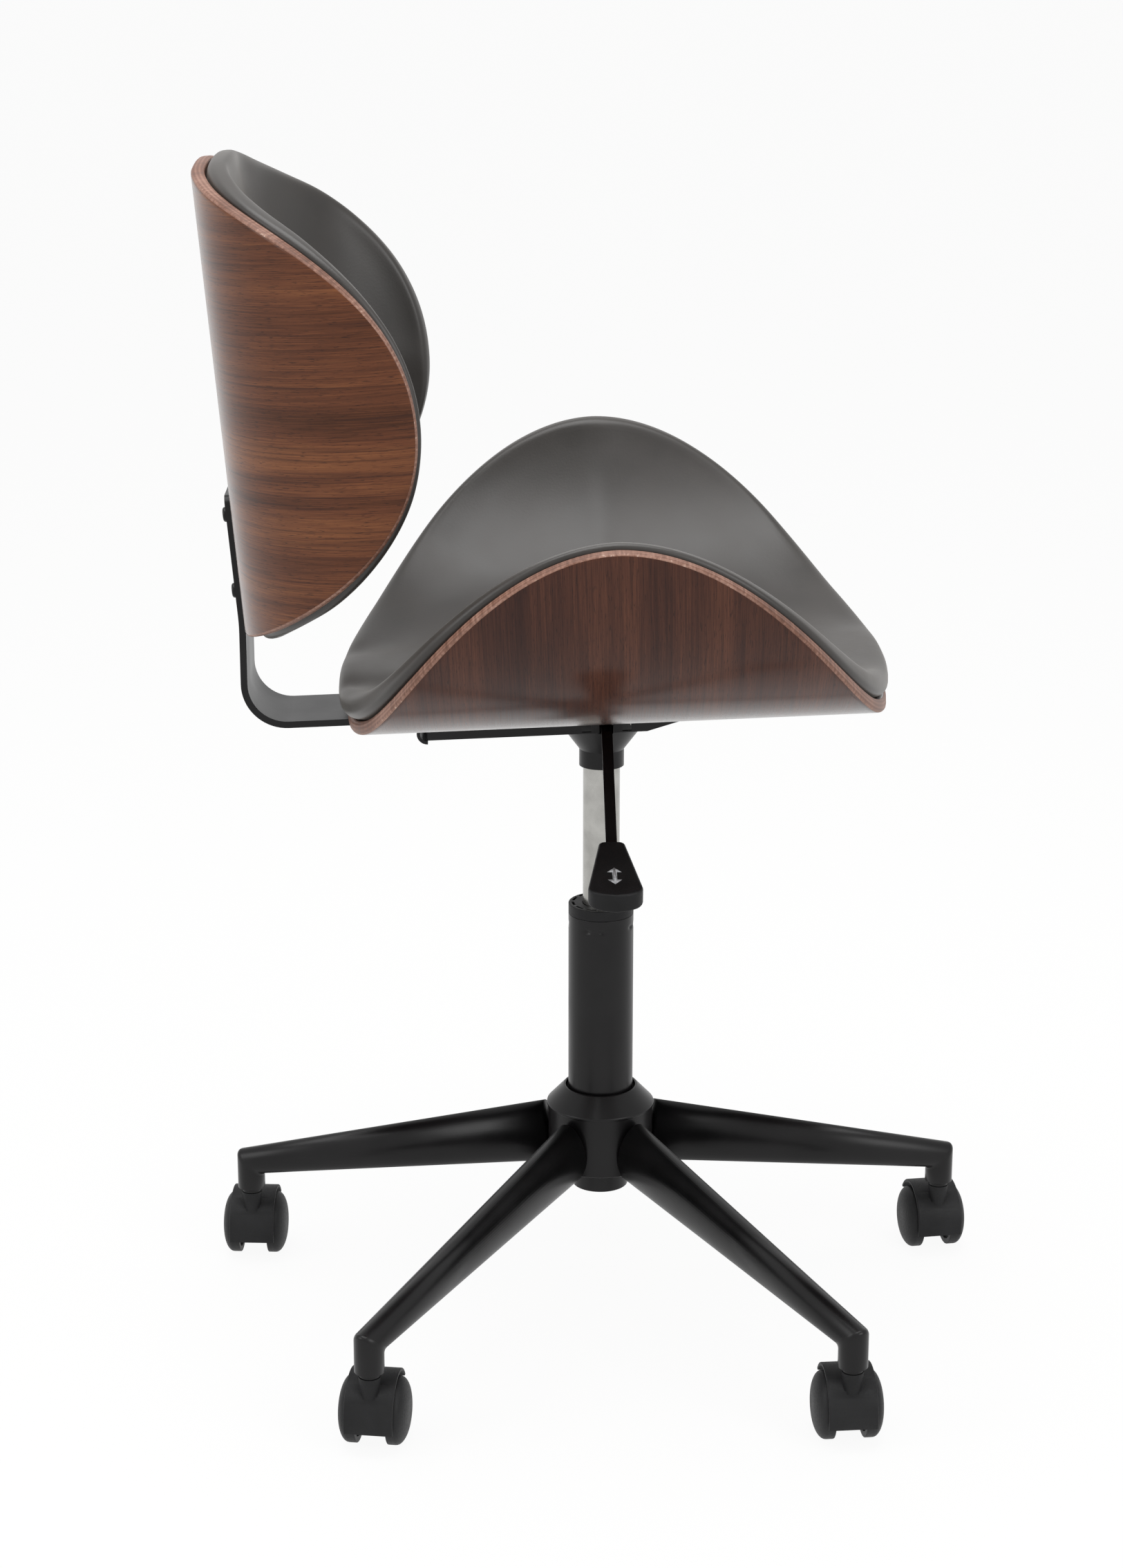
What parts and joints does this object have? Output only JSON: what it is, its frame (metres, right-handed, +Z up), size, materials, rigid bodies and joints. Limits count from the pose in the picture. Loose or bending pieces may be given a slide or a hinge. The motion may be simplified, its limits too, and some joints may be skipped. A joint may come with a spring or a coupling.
{
  "type": "rolling chair",
  "caption": "Rolling desk chair with a saddle-shaped bent-ply seat and back, thick cushions, a bar bracket, a gas lift with a paddle lever and a star base on hooded casters.",
  "frame": {"origin": "on the floor, on the column's axis, with the seat raised", "axes": "+Z up along the column; the sitter faces -Y and the lever is on -X"},
  "size_m": [0.6011, 0.612, 0.9049],
  "materials": {
    "walnut_ply": "satin",
    "cushion_cover": "matte",
    "black_steel": "satin",
    "plated_steel": "satin",
    "black_plastic": "satin",
    "caster_plastic": "matte"
  },
  "bodies": {
    "base": {"base_core": "black_steel", "base_shroud": "black_steel", "outer_column": "black_steel", "column_bush": "black_plastic", "thrust_bearing": "plated_steel", "stem_sleeves": "black_plastic", "leg_1": "black_steel", "leg_2": "black_steel", "leg_3": "black_steel", "leg_4": "black_steel", "leg_5": "black_steel", "leg_socket_1": "black_steel", "leg_socket_2": "black_steel", "leg_socket_3": "black_steel", "leg_socket_4": "black_steel", "leg_socket_5": "black_steel"},
    "rod": {"piston_rod": "plated_steel", "retaining_clip": "plated_steel"},
    "seat": {"gas_cylinder": "black_steel", "mechanism_plate": "black_steel", "mechanism_socket": "black_steel", "lever_pin": "plated_steel", "back_bracket": "black_steel", "seat_shell": "walnut_ply", "seat_pad": "cushion_cover", "back_shell": "walnut_ply", "back_pad": "cushion_cover", "seat_bolts": "plated_steel", "seat_nuts": "plated_steel", "back_bolts": "plated_steel", "back_nuts": "plated_steel"},
    "lever": {"lever_arm": "black_steel", "lever_paddle": "black_plastic"},
    "button": {"release_button": "plated_steel"},
    "caster_1": {"caster_hood_1": "caster_plastic", "caster_stem_1": "plated_steel", "caster_axle_1": "plated_steel"},
    "wheel_1_left": {"wheel_1_left": "caster_plastic"},
    "wheel_1_right": {"wheel_1_right": "caster_plastic"},
    "caster_2": {"caster_hood_2": "caster_plastic", "caster_stem_2": "plated_steel", "caster_axle_2": "plated_steel"},
    "wheel_2_left": {"wheel_2_left": "caster_plastic"},
    "wheel_2_right": {"wheel_2_right": "caster_plastic"},
    "caster_3": {"caster_hood_3": "caster_plastic", "caster_stem_3": "plated_steel", "caster_axle_3": "plated_steel"},
    "wheel_3_left": {"wheel_3_left": "caster_plastic"},
    "wheel_3_right": {"wheel_3_right": "caster_plastic"},
    "caster_4": {"caster_hood_4": "caster_plastic", "caster_stem_4": "plated_steel", "caster_axle_4": "plated_steel"},
    "wheel_4_left": {"wheel_4_left": "caster_plastic"},
    "wheel_4_right": {"wheel_4_right": "caster_plastic"},
    "caster_5": {"caster_hood_5": "caster_plastic", "caster_stem_5": "plated_steel", "caster_axle_5": "plated_steel"},
    "wheel_5_left": {"wheel_5_left": "caster_plastic"},
    "wheel_5_right": {"wheel_5_right": "caster_plastic"}
  },
  "joints": [
    {"name": "seat_swivel", "type": "hinge", "parent": "base", "child": "rod", "pos_m": [0, 0, 0.12], "axis": [0, 0, 1], "continuous": true},
    {"name": "seat_lift", "type": "slide", "parent": "rod", "child": "seat", "axis": [0, 0, 1], "range_m": [-0.095, 0]},
    {"name": "lever_pull", "type": "hinge", "parent": "seat", "child": "lever", "pos_m": [-0.022, -0.002, 0.4863], "axis": [0, 1, 0], "range_deg": [0, 8], "stiffness_Nm_per_rad": 0.5},
    {"name": "button_press", "type": "slide", "parent": "seat", "child": "button", "axis": [0, 0, -1], "range_m": [0, 0.0031]},
    {"name": "caster_swivel_1", "type": "hinge", "parent": "base", "child": "caster_1", "pos_m": [0.296, 0, 0.07], "axis": [0, 0, 1], "continuous": true},
    {"name": "wheel_roll_1_left", "type": "hinge", "parent": "caster_1", "child": "wheel_1_left", "pos_m": [0.31495, 0.00133, 0.025], "axis": [-0.0698, 0.9976, 0], "continuous": true},
    {"name": "wheel_roll_1_right", "type": "hinge", "parent": "caster_1", "child": "wheel_1_right", "pos_m": [0.31495, 0.00133, 0.025], "axis": [-0.0698, 0.9976, 0], "continuous": true},
    {"name": "caster_swivel_2", "type": "hinge", "parent": "base", "child": "caster_2", "pos_m": [0.09147, 0.28151, 0.07], "axis": [0, 0, 1], "continuous": true},
    {"name": "wheel_roll_2_left", "type": "hinge", "parent": "caster_2", "child": "wheel_2_left", "pos_m": [0.11042, 0.28019, 0.025], "axis": [0.0698, 0.9976, 0], "continuous": true},
    {"name": "wheel_roll_2_right", "type": "hinge", "parent": "caster_2", "child": "wheel_2_right", "pos_m": [0.11042, 0.28019, 0.025], "axis": [0.0698, 0.9976, 0], "continuous": true},
    {"name": "caster_swivel_3", "type": "hinge", "parent": "base", "child": "caster_3", "pos_m": [-0.23947, 0.17398, 0.07], "axis": [0, 0, 1], "continuous": true},
    {"name": "wheel_roll_3_left", "type": "hinge", "parent": "caster_3", "child": "wheel_3_left", "pos_m": [-0.2207, 0.17101, 0.025], "axis": [0.1564, 0.9877, 0], "continuous": true},
    {"name": "wheel_roll_3_right", "type": "hinge", "parent": "caster_3", "child": "wheel_3_right", "pos_m": [-0.2207, 0.17101, 0.025], "axis": [0.1564, 0.9877, 0], "continuous": true},
    {"name": "caster_swivel_4", "type": "hinge", "parent": "base", "child": "caster_4", "pos_m": [-0.23947, -0.17398, 0.07], "axis": [0, 0, 1], "continuous": true},
    {"name": "wheel_roll_4_left", "type": "hinge", "parent": "caster_4", "child": "wheel_4_left", "pos_m": [-0.22051, -0.17266, 0.025], "axis": [-0.0698, 0.9976, 0], "continuous": true},
    {"name": "wheel_roll_4_right", "type": "hinge", "parent": "caster_4", "child": "wheel_4_right", "pos_m": [-0.22051, -0.17266, 0.025], "axis": [-0.0698, 0.9976, 0], "continuous": true},
    {"name": "caster_swivel_5", "type": "hinge", "parent": "base", "child": "caster_5", "pos_m": [0.09147, -0.28151, 0.07], "axis": [0, 0, 1], "continuous": true},
    {"name": "wheel_roll_5_left", "type": "hinge", "parent": "caster_5", "child": "wheel_5_left", "pos_m": [0.11028, -0.27887, 0.025], "axis": [-0.1392, 0.9903, 0], "continuous": true},
    {"name": "wheel_roll_5_right", "type": "hinge", "parent": "caster_5", "child": "wheel_5_right", "pos_m": [0.11028, -0.27887, 0.025], "axis": [-0.1392, 0.9903, 0], "continuous": true}
  ],
  "couplings": [
    {"joint": "button_press", "follows": "lever_pull", "m_per_rad": 0.022}
  ]
}
